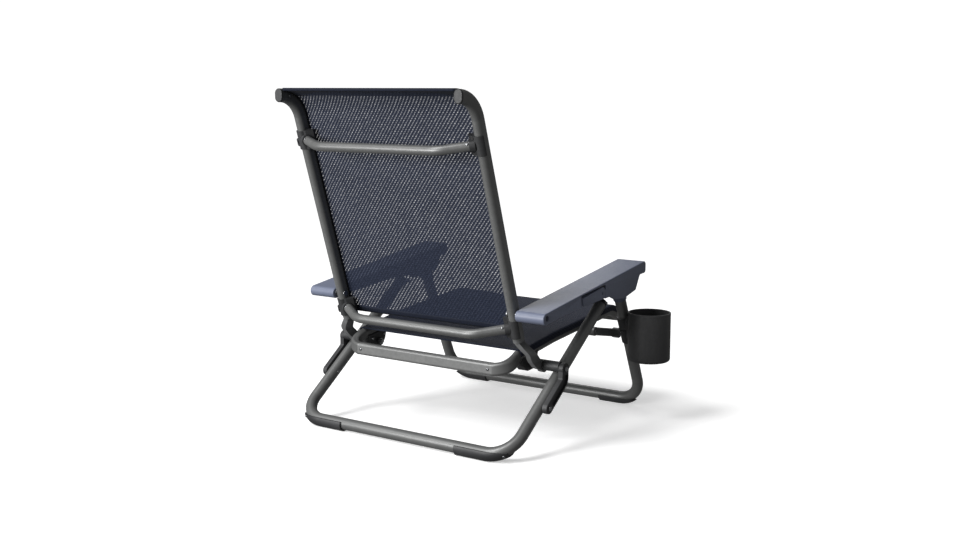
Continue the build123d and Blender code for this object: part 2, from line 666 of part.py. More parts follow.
def front_collars():
    """Sleeves round the front uprights at their pivots."""
    way = toward(FRONT_FLOOR, FRONT_TOP)
    with BuildPart() as collars:
        with BuildSketch(Plane(origin=(FRONT_HALF, *FRONT_PIVOT), x_dir=(1, 0, 0), z_dir=(0, *way))):
            Circle(17.5)
        extrude(amount=20, both=True)
        fillet(collars.edges().filter_by(GeomType.CIRCLE), 2)
        with BuildSketch(Plane(origin=(FRONT_HALF, *FRONT_FLOOR), x_dir=(1, 0, 0), z_dir=(0, *way))):
            Circle(LEG_RADIUS)
        extrude(amount=320, mode=Mode.SUBTRACT)
        extrude(disc(280, FRONT_PIVOT, SMALL_BORE), amount=60, mode=Mode.SUBTRACT)
        mirror(about=Plane.YZ)
    finish(collars, "front_collars")


def front_leg_sleeves():
    """Closed sleeves over the tops of the front uprights."""
    way = toward(FRONT_TOP, FRONT_FLOOR)
    top = Plane(origin=(FRONT_HALF, *FRONT_TOP), x_dir=(1, 0, 0), z_dir=(0, *way))
    with BuildPart() as sleeves:
        with BuildSketch(top.offset(-3)):
            Circle(17)
        extrude(amount=27)
        fillet(sleeves.edges().filter_by(GeomType.CIRCLE), 1.8)
        with BuildSketch(top):
            Circle(LEG_RADIUS)
        extrude(amount=30, mode=Mode.SUBTRACT)
        mirror(about=Plane.YZ)
    finish(sleeves, "front_leg_sleeves")


def foot_rivets():
    """Rivet heads through the rear shoes, on the outside of each bend."""
    bend_way = (sin(radians(38)), -cos(radians(38)))
    middle = (REAR_HALF - LEG_BEND, LEG_BEND)
    plane = leg_plane(REAR_FLOOR, REAR_TOP)
    spots = [
        plane.from_local_coords((middle[0] + reach * bend_way[0], middle[1] + reach * bend_way[1], 0))
        for reach in (LEG_BEND, LEG_BEND + FOOT_RADIUS)
    ]
    with BuildPart() as rivets:
        add(rivet(Plane(origin=spots[1], z_dir=spots[1] - spots[0])))
        mirror(about=Plane.YZ)
    finish(rivets, "foot_rivets")


# ================================================================ armrests
def armrest_top(y):
    """Height of the armrest's sloping upper face at y."""
    rise = ARMREST_FRONT_TOP - ARMREST_REAR_TOP
    return ARMREST_REAR_TOP + rise * (ARMREST_REAR_Y - y) / ARMREST_RUN


def armrest():
    """Hollow moulded armrest, open below, with a pivot boss, ribs, a lug and a window for the lever."""
    low, high = ARMREST_LANE
    inner_low, inner_high = low + ARMREST_WALL, high - ARMREST_WALL
    with BuildPart() as rest:
        with BuildSketch(Plane.YZ.offset(low)) as outline:
            with BuildLine():
                Polyline(
                    (234.5, armrest_top(234.5)),
                    (-240, armrest_top(-240)),
                    (-240, 368.7),
                    (-210, 367),
                    (-189.7, 331),
                    (-129, 316.6),
                    (-84.5, 321),
                    (-60, 331),
                    (15.5, 327.4),
                    (166, 314.5),
                    (234.5, 304),
                    close=True,
                )
            make_face()
            fillet(outline.vertices().sort_by(Axis.X)[-2:], 12.8)
            fillet(outline.vertices().sort_by(Axis.X)[:-4], 8)
        extrude(amount=high - low)
        slope = (0, -ARMREST_RUN, ARMREST_FRONT_TOP - ARMREST_REAR_TOP)
        fillet(rest.edges().filter_by(Axis((0, 0, 0), slope)), 2.5)
        with BuildSketch(Plane.YZ.offset(inner_low)):
            Polygon(
                (203, armrest_top(203) - ARMREST_ROOF),
                (-237, armrest_top(-237) - ARMREST_ROOF),
                (-237, 371.8),
                (-206, 369.9),
                (-206, 290),
                (203, 290),
                align=None,
            )
        extrude(amount=inner_high - inner_low, mode=Mode.SUBTRACT)
        # Cross ribs under the roof, behind the reach of the folded legs.
        for y in (90, 130, 170):
            with BuildSketch(Plane.YZ.offset(inner_low - 0.5)):
                with Locations((y, armrest_top(y) - 8)):
                    Rectangle(2.2, 12)
            extrude(amount=inner_high - inner_low + 1)
        # Pivot boss with a recess for the pin's outer head.
        extrude(disc(inner_low - 0.5, ARM_PIVOT, 9.5), amount=inner_high - inner_low + 1)
        extrude(disc(low - 1, ARM_PIVOT, BIG_BORE), amount=high - low + 2, mode=Mode.SUBTRACT)
        extrude(disc(345, ARM_PIVOT, 6.6), amount=10, mode=Mode.SUBTRACT)
        # Window for the lever, open at the lower edge.
        with BuildSketch(Plane.YZ.offset(inner_high - 1)) as window:
            with BuildLine():
                Polyline(*LEVER_WINDOW, close=True)
            make_face()
            fillet(window.vertices().sort_by(Axis.Y)[-2:], 4)
        extrude(amount=10, mode=Mode.SUBTRACT)
        # Lug that carries the lever's pin.
        with BuildSketch(Plane.YZ.offset(332)):
            with Locations(LEVER_PIVOT):
                Circle(7)
            Polygon(
                (LEVER_PIVOT[0] - 7, LEVER_PIVOT[1]),
                (LEVER_PIVOT[0] - 12, armrest_top(LEVER_PIVOT[0] - 12) - 2),
                (LEVER_PIVOT[0] + 12, armrest_top(LEVER_PIVOT[0] + 12) - 2),
                (LEVER_PIVOT[0] + 7, LEVER_PIVOT[1]),
                align=None,
            )
        extrude(amount=6)
        extrude(disc(331, LEVER_PIVOT, LEVER_PIN), amount=8, mode=Mode.SUBTRACT)
    finish_pair(rest, "armrest")


def recline_lever():
    """Lever in the armrest's outer wall that frees the recline."""
    low, high = LEVER_LANE
    with BuildPart() as lever:
        with BuildSketch(Plane.YZ.offset(low)) as outline:
            with BuildLine():
                Polyline(*LEVER_OUTLINE, close=True)
            make_face()
            fillet(outline.vertices(), 4)
        extrude(amount=high - low)
        fillet(lever.faces().sort_by(Axis.X)[-1].edges(), 1.5)
        extrude(disc(low - 1, LEVER_PIVOT, LEVER_PIN + PIN_FIT), amount=16, mode=Mode.SUBTRACT)
    finish_pair(lever, "recline_lever")


def lever_pin():
    """Pin fixed in the armrest's lug, on which the lever turns."""
    with BuildPart() as pin:
        extrude(disc(330.5, LEVER_PIVOT, LEVER_PIN), amount=24.3)
        extrude(disc(330.5, LEVER_PIVOT, 4.5), amount=1.5)
        extrude(disc(LEVER_LANE[1] + RUN_GAP, LEVER_PIVOT, 4), amount=1.2)
        fillet(pin.faces().sort_by(Axis.X)[-1].edges(), 0.8)
    finish_pair(pin, "lever_pin")


def notch_rack():
    """Toothed rack under the armrest's roof, above the notch pin."""
    low, high = 284.0, 296.0
    front, rear = -150.0, -72.0
    foot_front, foot_rear = 340.0, 325.0
    slope = (foot_rear - foot_front) / (rear - front)
    with BuildPart() as rack:
        with BuildSketch(Plane.YZ.offset(low)):
            Polygon(
                (front, armrest_top(front) - ARMREST_ROOF - 0.1),
                (front, foot_front),
                (rear, foot_rear),
                (rear, armrest_top(rear) - ARMREST_ROOF - 0.1),
                align=None,
            )
            for index in range(4):
                y = rear - 12 - 18 * index
                with Locations((y, foot_rear + slope * (y - rear))):
                    Circle(4.6, mode=Mode.SUBTRACT)
        extrude(amount=high - low)
    finish_pair(rack, "notch_rack")


def arm_pin():
    """Pin from the back rail into the armrest's boss, with a head at each end and a washer between."""
    inner = BACK_RAIL_X - BACK_RAIL_WIDE / 2 - RUN_GAP
    with BuildPart() as pin:
        extrude(disc(inner - 2.8, ARM_PIVOT, BIG_PIN), amount=345.3 - inner + 2.8)
        extrude(disc(inner - 2.8, ARM_PIVOT, 7.5), amount=2.8)
        extrude(disc(345.3, ARM_PIVOT, 6.3), amount=2.6)
        ends = pin.faces().sort_by(Axis.X)
        fillet(ends[0].edges() + ends[-1].edges(), 1.2)
        washer_low = BACK_RAIL_X + BACK_RAIL_WIDE / 2 + RUN_GAP
        extrude(disc(washer_low, ARM_PIVOT, 8.5, BIG_BORE), amount=ARMREST_LANE[0] - RUN_GAP - washer_low)
    finish_pair(pin, "arm_pin")


# ================================================================ cup holder
def cup_clip():
    """Split ring round the right front upright with a T-shaped rail for the cup."""
    way = toward(FRONT_FLOOR, FRONT_TOP)
    low, high = 226.0, 258.0
    rail_foot = -321.8
    ring_centre = along(FRONT_FLOOR, FRONT_TOP, 245)
    with BuildPart() as clip:
        with BuildSketch(Plane(origin=(-FRONT_HALF, *ring_centre), x_dir=(1, 0, 0), z_dir=(0, *way))):
            Circle(18)
        extrude(amount=16, both=True)
        with BuildSketch(Plane.XY.offset(low)):
            with Locations(((rail_foot - 326) / 2, TEE_Y - 2)):
                Rectangle(4.2, 30)
            with Locations((-327.5, TEE_Y)):
                Rectangle(4, 8)
            with Locations((-330.6, TEE_Y)):
                Rectangle(2.8, 14)
        extrude(amount=high - low)
        with BuildSketch(Plane(origin=(-FRONT_HALF, *FRONT_FLOOR), x_dir=(1, 0, 0), z_dir=(0, *way))):
            Circle(LEG_RADIUS)
        extrude(amount=320, mode=Mode.SUBTRACT)
    finish(clip, "cup_clip")


def cup_holder():
    """Round cup with a drain hole, and a boss with a T-shaped channel open at its foot."""
    with BuildPart() as cup:
        with BuildSketch(Plane.XY.offset(CUP_LOW)):
            with Locations(CUP_CENTRE):
                Circle(CUP_RADIUS)
        extrude(amount=CUP_HIGH - CUP_LOW)
        fillet(cup.faces().sort_by(Axis.Z)[0].edges(), 8)
        with BuildSketch(Plane.XY.offset(205)):
            with Locations((-333.4, TEE_Y)):
                Rectangle(13.2, 28)
        extrude(amount=57)
        with BuildSketch(Plane.XY.offset(CUP_LOW + CUP_FLOOR)):
            with Locations(CUP_CENTRE):
                Circle(CUP_RADIUS - CUP_WALL)
        extrude(amount=CUP_HIGH - CUP_LOW, mode=Mode.SUBTRACT)
        with BuildSketch(Plane.XY.offset(CUP_LOW)):
            with Locations(CUP_CENTRE):
                Circle(6)
        extrude(amount=CUP_FLOOR, mode=Mode.SUBTRACT)
        with BuildSketch(Plane.XY.offset(TEE_SLOT[0])):
            with Locations((-327.9, TEE_Y)):
                Rectangle(4.4, 8.6)
            with Locations((-330.7, TEE_Y)):
                Rectangle(3.6, 14.6)
        extrude(amount=TEE_SLOT[1] - TEE_SLOT[0], mode=Mode.SUBTRACT)
    finish(cup, "cup_body")


# ================================================================ build everything
seat_rail()
seat_bars()
seat_corners()
seat_front_corners()
seat_sling()
pivot_bracket()
front_leg_arm()
front_leg_pins()
seat_rivets()
hinge_pins()
hinge_spacers()
back_rail()
rail_end_plug()
crossbar(UPPER_BAR_RISE, *UPPER_BAR_DEPTHS, "upper_crossbar")
crossbar(LOWER_BAR_RISE, *LOWER_BAR_DEPTHS, "lower_crossbar")
crossbar_clamp(UPPER_BAR_RISE, *UPPER_BAR_DEPTHS, "upper_clamp")
crossbar_clamp(LOWER_BAR_RISE, *LOWER_BAR_DEPTHS, "lower_clamp")
hinge_arm()
back_sling()
strap_loops()
back_rivets()
link()
link_rivets()
leg_tube(REAR_HALF, REAR_FLOOR, REAR_TOP, REAR_CAP, LINK_PIVOT, "rear_leg_tube")
leg_tube(FRONT_HALF, FRONT_FLOOR, FRONT_TOP, 0, FRONT_PIVOT, "front_leg_tube")
foot_cover(REAR_HALF, REAR_FLOOR, REAR_TOP, 172, 306, 25, "rear_foot")
foot_cover(FRONT_HALF, FRONT_FLOOR, FRONT_TOP, 186, 296, 16, "front_foot")
rear_leg_caps()
notch_pins()
front_collars()
front_leg_sleeves()
foot_rivets()
armrest()
recline_lever()
lever_pin()
notch_rack()
arm_pin()
cup_clip()
cup_holder()
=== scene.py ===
import json
from math import acos, ceil, cos, hypot, pi, radians, sin, tan

import bpy
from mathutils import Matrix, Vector


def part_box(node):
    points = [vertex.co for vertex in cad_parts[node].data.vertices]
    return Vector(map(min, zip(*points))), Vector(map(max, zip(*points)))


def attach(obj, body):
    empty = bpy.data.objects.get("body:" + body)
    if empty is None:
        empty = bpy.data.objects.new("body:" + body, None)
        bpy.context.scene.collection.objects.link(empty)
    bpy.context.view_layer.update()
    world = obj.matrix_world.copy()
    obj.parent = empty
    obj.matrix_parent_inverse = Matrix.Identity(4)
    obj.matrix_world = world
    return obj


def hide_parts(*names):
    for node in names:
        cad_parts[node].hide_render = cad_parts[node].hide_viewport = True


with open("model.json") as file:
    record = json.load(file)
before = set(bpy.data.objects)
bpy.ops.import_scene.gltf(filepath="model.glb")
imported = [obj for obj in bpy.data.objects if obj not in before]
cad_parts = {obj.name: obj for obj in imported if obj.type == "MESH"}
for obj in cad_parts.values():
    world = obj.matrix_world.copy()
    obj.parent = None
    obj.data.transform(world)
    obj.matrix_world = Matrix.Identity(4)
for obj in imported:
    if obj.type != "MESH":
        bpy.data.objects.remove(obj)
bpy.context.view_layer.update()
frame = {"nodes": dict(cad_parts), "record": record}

# A folding beach chair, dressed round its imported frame. Metres; +X is the sitter's left,
# the chair faces -Y, +Z is up. Side-view points are (y, z).

# ---------------------------------------------------------------- sizes
CLOTH = 0.0012  # thickness of the woven mesh
BACK_LEAN = radians(17.42)  # lean of the back rails from upright
BACK_BEND = 0.082  # radius of the cloth's curl at the top
BACK_CAD_CLOTH = 0.0024  # thickness of the CAD sheet
BACK_BILLOW = 0.004  # how far the middle of the back stands rearward of its edges
HEM_DEEP, HEM_THICK = 0.050, 0.0026
TOP_HEM_THICK, TOP_HEM_LIFT = 0.0065, -0.002  # the padded hem stands towards the sitter
TOP_STITCH_LIFT = TOP_HEM_LIFT + TOP_HEM_THICK / 2
LOWER_HEM_DEEP = 0.015
WELT_RADIUS, WELT_OUT = 0.0026, 0.0006  # the welt's centreline lies just outside the cloth's edge
STITCH_PITCH, STITCH_LONG, STITCH_RADIUS = 0.0052, 0.0036, 0.00042
STITCH_INSET = 0.006  # ends of a row of stitches, in from the cloth's side edges
SEAM_INSET = 0.0095  # line of stitches along each side of the back, in from its edge
ROUTE_STEP = 0.005  # from one sample of a side-view route to the next

SEAT_RAIL_ROUTE = ((0.165, 0.210), (0.010, 0.232), (-0.262, 0.258), (-0.329, 0.229))
SEAT_RAIL_BENDS = (0.4, 0.06)
SEAT_RISE = 0.0154  # cloth above the rail's centreline
SEAT_HALF = 0.2464  # outer face of the side flaps
SEAT_FLAT_HALF = 0.226  # inner face of the rails
SEAT_SAG = 0.006
SEAT_ROUND = 0.005  # radius of the cloth's turn over each rail
FRONT_BAR, FRONT_WRAP = (-0.342, 0.22615), 0.0127
FRONT_HEM_DEEP = 0.011
SEAT_HEM_HALF = SEAT_HALF - 0.004
FLAP_SEAM_RISE = 0.0025  # line of stitches along each flap, above the rail's centreline

WEAVE_ACROSS = 0.0096  # from one slanting line of holes to the next
WEAVE_ROW = 0.0052  # from one weft to the next
WEAVE_LEAN = 0.88  # sideways step of the lines for each unit up
WEAVE_WAVER = 0.0016  # how far the lines wander, side to side
FIBRE_PITCH, FIBRE_LEAN = 0.0011, 0.9  # single fibres in the yarn
HOLE_WIDE = 0.37  # share of the gap between lines that is open in the back
HOLE_OPEN, PORE_OPEN = 0.66, 0.05  # light let through by the holes, and by the weave between them


# ================================================================ geometry helpers
def unit(vector):
    """A side-view vector at unit length."""
    size = hypot(*vector)
    return vector[0] / size, vector[1] / size


def offset_route(points, gap):
    """Side-view polyline moved sideways, to the right of its direction of travel in (y, z)."""
    ways = [unit((b[0] - a[0], b[1] - a[1])) for a, b in zip(points, points[1:])]
    sides = [(way[1], -way[0]) for way in ways]
    sides = [sides[0]] + sides + [sides[-1]]
    moved = []
    for point, before, after in zip(points, sides, sides[1:]):
        scale = gap / (1 + before[0] * after[0] + before[1] * after[1])
        moved.append((point[0] + scale * (before[0] + after[0]), point[1] + scale * (before[1] + after[1])))
    return moved


def bent_route(points, radii, step):
    """Evenly spaced samples (y, z, way_y, way_z) along a polyline with rounded corners."""
    spans, start = [], points[0]
    for before, corner, after, radius in zip(points, points[1:], points[2:], radii):
        into = unit((corner[0] - before[0], corner[1] - before[1]))
        out = unit((after[0] - corner[0], after[1] - corner[1]))
        turn = acos(max(-1, min(1, into[0] * out[0] + into[1] * out[1])))
        side = 1 if into[0] * out[1] - into[1] * out[0] > 0 else -1
        cut = radius * tan(turn / 2)
        arc_start = (corner[0] - into[0] * cut, corner[1] - into[1] * cut)
        spans.append(("line", start, arc_start, into, 0, 0))
        spans.append(("arc", arc_start, None, into, radius, side * turn))
        start = (corner[0] + out[0] * cut, corner[1] + out[1] * cut)
    last = unit((points[-1][0] - start[0], points[-1][1] - start[1]))
    spans.append(("line", start, points[-1], last, 0, 0))
    samples = []
    for kind, begin, end, way, radius, turn in spans:
        length = abs(turn) * radius if kind == "arc" else hypot(end[0] - begin[0], end[1] - begin[1])
        count = max(1, ceil(length / step))
        for index in range(count):
            t = index / count
            if kind == "line":
                samples.append((begin[0] + way[0] * length * t, begin[1] + way[1] * length * t, *way))
                continue
            angle = turn * t
            side = 1 if turn > 0 else -1
            centre = (begin[0] - way[1] * radius * side, begin[1] + way[0] * radius * side)
            arm = (begin[0] - centre[0], begin[1] - centre[1])
            turned = (arm[0] * cos(angle) - arm[1] * sin(angle), arm[0] * sin(angle) + arm[1] * cos(angle))
            heading = (way[0] * cos(angle) - way[1] * sin(angle), way[0] * sin(angle) + way[1] * cos(angle))
            samples.append((centre[0] + turned[0], centre[1] + turned[1], *heading))
    samples.append((*points[-1], *last))
    return samples


def distances(samples):
    """Distance along a route at each of its samples."""
    found = [0.0]
    for a, b in zip(samples, samples[1:]):
        found.append(found[-1] + hypot(b[0] - a[0], b[1] - a[1]))
    return found


def mesh_object(name, points, faces, material, uvs=None):
    """A smooth mesh piece, with an optional (u, v) in metres for every vertex."""
    mesh = bpy.data.meshes.new(name)
    mesh.from_pydata([tuple(p) for p in points], [], faces)
    if uvs:
        layer = mesh.uv_layers.new(name="cloth")
        for loop in mesh.loops:
            layer.data[loop.index].uv = uvs[loop.vertex_index]
    mesh.polygons.foreach_set("use_smooth", [True] * len(mesh.polygons))
    mesh.update()
    made = bpy.data.objects.new(name, mesh)
    bpy.context.scene.collection.objects.link(made)
    made.data.materials.append(material)
    return made


def grid_faces(rows, columns):
    """Quads of an open grid of vertices."""
    return [
        (r * columns + c, r * columns + c + 1, (r + 1) * columns + c + 1, (r + 1) * columns + c)
        for r in range(rows - 1)
        for c in range(columns - 1)
    ]


def cloth_piece(name, points, uvs, rows, columns, thickness, material):
    """A sheet of real thickness from a grid of points on its middle surface."""
    made = mesh_object(name, points, grid_faces(rows, columns), material, uvs)
    solid = made.modifiers.new("thickness", "SOLIDIFY")
    solid.thickness = thickness
    solid.offset = 0
    return made


def tube_piece(name, centres, radius, material, sides=10):
    """A closed round tube along a list of points."""
    points, faces = [], []
    count = len(centres)
    for index, centre in enumerate(centres):
        way = (centres[min(index + 1, count - 1)] - centres[max(index - 1, 0)]).normalized()
        across = way.cross(Vector((1, 0, 0)) if abs(way.x) < 0.8 else Vector((0, 0, 1))).normalized()
        other = way.cross(across)
        for side in range(sides):
            angle = 2 * pi * side / sides
            points.append(centre + radius * (cos(angle) * across + sin(angle) * other))
    for index in range(count - 1):
        for side in range(sides):
            a, b = index * sides + side, index * sides + (side + 1) % sides
            faces.append((a, b, b + sides, a + sides))
    faces.append(tuple(reversed(range(sides))))
    faces.append(tuple((count - 1) * sides + side for side in range(sides)))
    return mesh_object(name, points, faces, material)


def stitches(name, spots, material):
    """Thread stitches lying on a surface, from (centre, way, normal) of each."""
    rings, sides = 5, 6
    points, faces = [], []
    for centre, way, normal in spots:
        base = len(points)
        across = way.cross(normal).normalized()
        for ring in range(rings):
            t = ring / (rings - 1)
            swell = STITCH_RADIUS * (0.35 + 0.65 * sin(pi * t))
            middle = centre + way * STITCH_LONG * (t - 0.5)
            for side in range(sides):
                angle = 2 * pi * side / sides
                points.append(middle + swell * (cos(angle) * across + sin(angle) * normal))
        for ring in range(rings - 1):
            for side in range(sides):
                a = base + ring * sides + side
                b = base + ring * sides + (side + 1) % sides
                faces.append((a, b, b + sides, a + sides))
        faces.append(tuple(base + side for side in reversed(range(sides))))
        faces.append(tuple(base + (rings - 1) * sides + side for side in range(sides)))
    return mesh_object(name, points, faces, material)


# ================================================================ materials
def new_material(name, **values):
    """A material with a Principled shader and the constants given by socket name."""
    made = bpy.data.materials.new(name)
    made.use_nodes = True
    shader = made.node_tree.nodes["Principled BSDF"]
    for socket, value in values.items():
        shader.inputs[socket.replace("_", " ")].default_value = value
    return made, made.node_tree, shader


def node(tree, kind, **settings):
    """A node with its properties set; sockets are set by the caller."""
    made = tree.nodes.new(kind)
    for name, value in settings.items():
        setattr(made, name, value)
    return made


def noise(tree, scale, detail=3.0, rough=0.5):
    """Noise over the object's own coordinates."""
    place = node(tree, "ShaderNodeTexCoord")
    made = node(tree, "ShaderNodeTexNoise")
    made.inputs["Scale"].default_value = scale
    made.inputs["Detail"].default_value = detail
    made.inputs["Roughness"].default_value = rough
    tree.links.new(place.outputs["Object"], made.inputs["Vector"])
    return made.outputs["Fac"]


def math(tree, operation, a, b=None, c=None, clamp=False):
    """A Math node on sockets or numbers; returns its output."""
    made = node(tree, "ShaderNodeMath", operation=operation, use_clamp=clamp)
    for index, value in enumerate((a, b, c)):
        if value is None:
            continue
        if isinstance(value, (int, float)):
            made.inputs[index].default_value = value
        else:
            tree.links.new(value, made.inputs[index])
    return made.outputs[0]


def ramp(tree, factor, stops):
    """A colour ramp over a factor, from (position, colour) stops."""
    made = node(tree, "ShaderNodeValToRGB")
    elements = made.color_ramp.elements
    while len(elements) < len(stops):
        elements.new(0.5)
    for element, (position, colour) in zip(elements, stops):
        element.position = position
        element.color = (*colour, 1)
    tree.links.new(factor, made.inputs["Fac"])
    return made.outputs["Color"]


def mix(tree, factor, a, b):
    """Mix of two colours, each a socket or a value."""
    made = node(tree, "ShaderNodeMix", data_type="RGBA")
    for socket, value in ((made.inputs["Factor"], factor), (made.inputs["A"], a), (made.inputs["B"], b)):
        if isinstance(value, (int, float)):
            socket.default_value = value
        elif isinstance(value, tuple):
            socket.default_value = (*value, 1)
        else:
            tree.links.new(value, socket)
    return made.outputs["Result"]


def bump(tree, shader, height, strength, distance):
    """Bump on a shader's normal."""
    made = node(tree, "ShaderNodeBump")
    made.inputs["Strength"].default_value = strength
    made.inputs["Distance"].default_value = distance
    tree.links.new(height, made.inputs["Height"])
    tree.links.new(made.outputs["Normal"], shader.inputs["Normal"])


def edge_wear(tree):
    """1 on sharp outer edges and 0 elsewhere, broken up by noise."""
    shape = node(tree, "ShaderNodeNewGeometry")
    sharp = math(tree, "MULTIPLY_ADD", shape.outputs["Pointiness"], 14.0, -7.35, clamp=True)
    return math(tree, "MULTIPLY", sharp, noise(tree, 120, 4), clamp=True)


def coated_metal(name, dark, light, grain):
    """Satin powder coat: fine orange-peel bump, faint mottling and lighter rubbed edges."""
    made, tree, shader = new_material(name, Metallic=0.35, IOR=1.5)
    shader.inputs["Coat Weight"].default_value = 0.12
    shader.inputs["Coat Roughness"].default_value = 0.35
    mottle = ramp(tree, noise(tree, 38, 5, 0.6), ((0.3, dark), (0.72, light)))
    worn = tuple(min(1, channel * 1.7 + 0.05) for channel in light)
    colour = mix(tree, math(tree, "MULTIPLY", edge_wear(tree), 0.5), mottle, worn)
    tree.links.new(colour, shader.inputs["Base Color"])
    rough = math(tree, "MULTIPLY_ADD", noise(tree, 260, 3), 0.16, 0.33)
    tree.links.new(rough, shader.inputs["Roughness"])
    bump(tree, shader, noise(tree, grain, 2), 0.22, 0.0003)
    return made


def moulded_plastic(name, dark, light, rough, grain):
    """Moulded plastic with a fine spark-eroded grain, faint flow marks and polished edges."""
    made, tree, shader = new_material(name, IOR=1.47)
    flow = ramp(tree, noise(tree, 9, 4, 0.55), ((0.3, dark), (0.75, light)))
    worn = tuple(min(1, channel * 1.55 + 0.012) for channel in light)
    colour = mix(tree, math(tree, "MULTIPLY", edge_wear(tree), 0.7), flow, worn)
    tree.links.new(colour, shader.inputs["Base Color"])
    roughness = math(tree, "MULTIPLY_ADD", noise(tree, 150, 4), 0.2, rough - 0.1)
    tree.links.new(roughness, shader.inputs["Roughness"])
    height = math(tree, "MULTIPLY_ADD", noise(tree, grain, 2, 0.7), 0.7, noise(tree, grain * 0.33, 3))
    bump(tree, shader, height, 0.3, 0.00035)
    return made


def plated_metal(name):
    """Zinc-plated steel with fine turning marks."""
    made, tree, shader = new_material(name, Metallic=1.0)
    colour = ramp(tree, noise(tree, 90, 4), ((0.3, (0.26, 0.265, 0.275)), (0.7, (0.40, 0.405, 0.415))))
    tree.links.new(colour, shader.inputs["Base Color"])
    tree.links.new(math(tree, "MULTIPLY_ADD", noise(tree, 700, 2), 0.2, 0.16), shader.inputs["Roughness"])
    bump(tree, shader, noise(tree, 900, 2), 0.2, 0.0001)
    return made


def cloth_coordinates(tree):
    """Distances in metres across and along the cloth."""
    place = node(tree, "ShaderNodeUVMap", uv_map="cloth")
    parts = node(tree, "ShaderNodeSeparateXYZ")
    tree.links.new(place.outputs["UV"], parts.inputs["Vector"])
    return parts.outputs["X"], parts.outputs["Y"]


def bars(tree, value, pitch):
    """0 to 1 triangle wave: 1 at the middle of each repeat."""
    turn = math(tree, "FRACT", math(tree, "MULTIPLY", value, 1 / pitch))
    away = math(tree, "ABSOLUTE", math(tree, "SUBTRACT", turn, 0.5))
    return math(tree, "MULTIPLY_ADD", away, -2.0, 1.0)


def above(tree, value, level, soft):
    """Smooth step from 0 below a level to 1 above it."""
    return math(tree, "MULTIPLY_ADD", value, 1 / soft, 0.5 - level / soft, clamp=True)


def woven_mesh(name, dark, light, line, open_size):
    """Coated open weave: slanting warp lines, wefts across them, holes where the lines gap, and painted
    light: a lighter colour along the lines.
    """
    made, tree, shader = new_material(name, IOR=1.45)
    shader.inputs["Specular IOR Level"].default_value = 0.25
    shader.inputs["Sheen Weight"].default_value = 0.03
    shader.inputs["Sheen Roughness"].default_value = 0.5
    across, along = cloth_coordinates(tree)
    waver = math(tree, "MULTIPLY_ADD", noise(tree, 26, 2), WEAVE_WAVER, -WEAVE_WAVER / 2)
    slid = math(tree, "ADD", math(tree, "MULTIPLY_ADD", along, WEAVE_LEAN, across), waver)
    warp = bars(tree, slid, WEAVE_ACROSS)
    weft = bars(tree, along, WEAVE_ROW)
    fibre = bars(tree, math(tree, "MULTIPLY_ADD", along, FIBRE_LEAN, across), FIBRE_PITCH)
    yarn = ramp(tree, noise(tree, 520, 3, 0.65), ((0.3, dark), (0.7, light)))
    # Painted light: the lighter line colour along the warp ridges, where the holes lie, stands in for the
    # brightness that shows through them.
    ridge = above(tree, warp, 0.66, 0.3)
    broken = math(tree, "MULTIPLY", ridge, above(tree, noise(tree, 210, 2), 0.42, 0.2))
    colour = mix(tree, math(tree, "MULTIPLY", broken, 0.55), yarn, line)
    tree.links.new(colour, shader.inputs["Base Color"])
    tree.links.new(math(tree, "MULTIPLY_ADD", fibre, -0.15, 0.78), shader.inputs["Roughness"])
    if open_size:
        slot = math(tree, "MULTIPLY", above(tree, warp, 1 - open_size, 0.1), above(tree, weft, 0.3, 0.3))
        gap = math(tree, "MULTIPLY", slot, above(tree, noise(tree, 240, 2), 0.42, 0.5))
        pores = math(tree, "MULTIPLY_ADD", gap, HOLE_OPEN, PORE_OPEN)
        tree.links.new(math(tree, "SUBTRACT", 1.0, pores, clamp=True), shader.inputs["Alpha"])
    height = math(tree, "ADD", math(tree, "MULTIPLY", warp, 0.8), math(tree, "MULTIPLY", weft, 0.6))
    bump(tree, shader, math(tree, "MULTIPLY_ADD", fibre, 0.25, height), 0.7, 0.0006)
    return made


def taped_edge(name, dark, light):
    """Plain tightly woven tape for hems and welts."""
    made, tree, shader = new_material(name, IOR=1.45)
    shader.inputs["Specular IOR Level"].default_value = 0.2
    shader.inputs["Sheen Weight"].default_value = 0.03
    weave = node(tree, "ShaderNodeTexVoronoi")
    weave.inputs["Scale"].default_value = 900
    place = node(tree, "ShaderNodeTexCoord")
    tree.links.new(place.outputs["Object"], weave.inputs["Vector"])
    colour = ramp(tree, noise(tree, 420, 4), ((0.3, dark), (0.7, light)))
    tree.links.new(colour, shader.inputs["Base Color"])
    tree.links.new(math(tree, "MULTIPLY_ADD", noise(tree, 60, 3), 0.2, 0.6), shader.inputs["Roughness"])
    bump(tree, shader, weave.outputs["Distance"], 0.5, 0.0004)
    return made


FRAME_GREY = coated_metal("frame_coat", (0.135, 0.137, 0.136), (0.152, 0.154, 0.152), 900)
CAST_GREY = coated_metal("cast_coat", (0.14, 0.143, 0.145), (0.17, 0.173, 0.175), 420)
BLACK_PLASTIC = moulded_plastic("black_moulding", (0.018, 0.0185, 0.020), (0.032, 0.0325, 0.034), 0.52, 700)
CUP_PLASTIC = moulded_plastic("cup_moulding", (0.040, 0.0405, 0.042), (0.054, 0.0545, 0.056), 0.5, 560)
NAVY_PLASTIC = moulded_plastic("navy_moulding", (0.138, 0.157, 0.222), (0.165, 0.186, 0.258), 0.42, 620)
BRIGHT = plated_metal("plated_steel")
DARK_YARN, SEAT_YARN = (0.008, 0.011, 0.023), (0.017, 0.022, 0.042)
# The third colour of each mesh is painted light along its warp lines.
BACK_MESH = woven_mesh("back_mesh", DARK_YARN, (0.018, 0.025, 0.050), (0.058, 0.070, 0.114), HOLE_WIDE)
SEAT_MESH = woven_mesh("seat_mesh", DARK_YARN, SEAT_YARN, (0.034, 0.040, 0.066), 0.0)
HEM_TAPE = taped_edge("hem_tape", (0.005, 0.007, 0.015), (0.010, 0.014, 0.028))
WELT_BLACK = taped_edge("welt_black", (0.008, 0.008, 0.010), (0.018, 0.018, 0.020))
